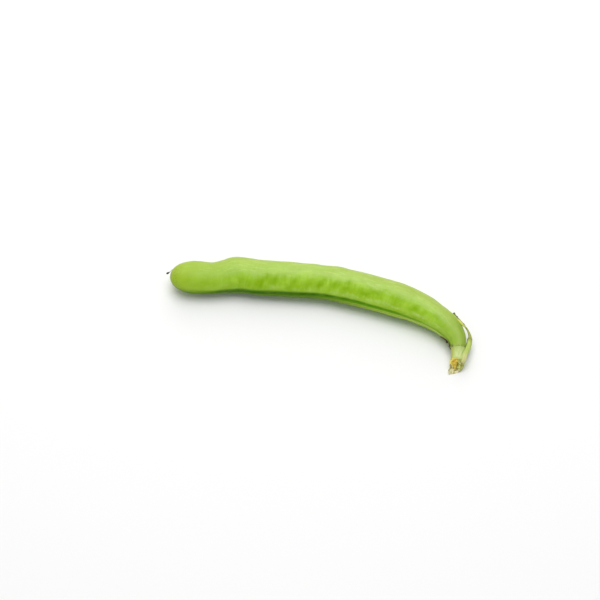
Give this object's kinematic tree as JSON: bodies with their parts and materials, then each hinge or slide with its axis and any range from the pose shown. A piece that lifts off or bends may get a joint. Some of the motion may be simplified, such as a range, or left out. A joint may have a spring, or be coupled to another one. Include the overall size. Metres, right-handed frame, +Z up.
{
  "type": "broad bean pod",
  "caption": "Closed green broad bean pod with a seam band along its concave edge, bean swellings, a torn stalk, a dried flower stem and a withered tip, lying on its flat side.",
  "frame": {"origin": "on the surface the pod lies on, under the middle of its footprint", "axes": "+X along the pod towards its stalk, +Y towards its convex edge, +Z up, through its flat side"},
  "size_m": [0.1706, 0.0474, 0.0174],
  "materials": {
    "pod_skin": "waxy green pod skin, lighter on its upper side, with a soft sheen, fine mottling and a pale seam band",
    "withered_style": "dry, shrivelled, nearly black",
    "withered_calyx": "dry and papery, dark brown to black",
    "stalk_skin": "pale green fibrous stalk, torn to orange and cream fibres at its end"
  },
  "bodies": {
    "root": {"pod": "pod_skin", "style": "withered_style", "calyx": "withered_calyx", "stalk": "stalk_skin"}
  },
  "joints": []
}
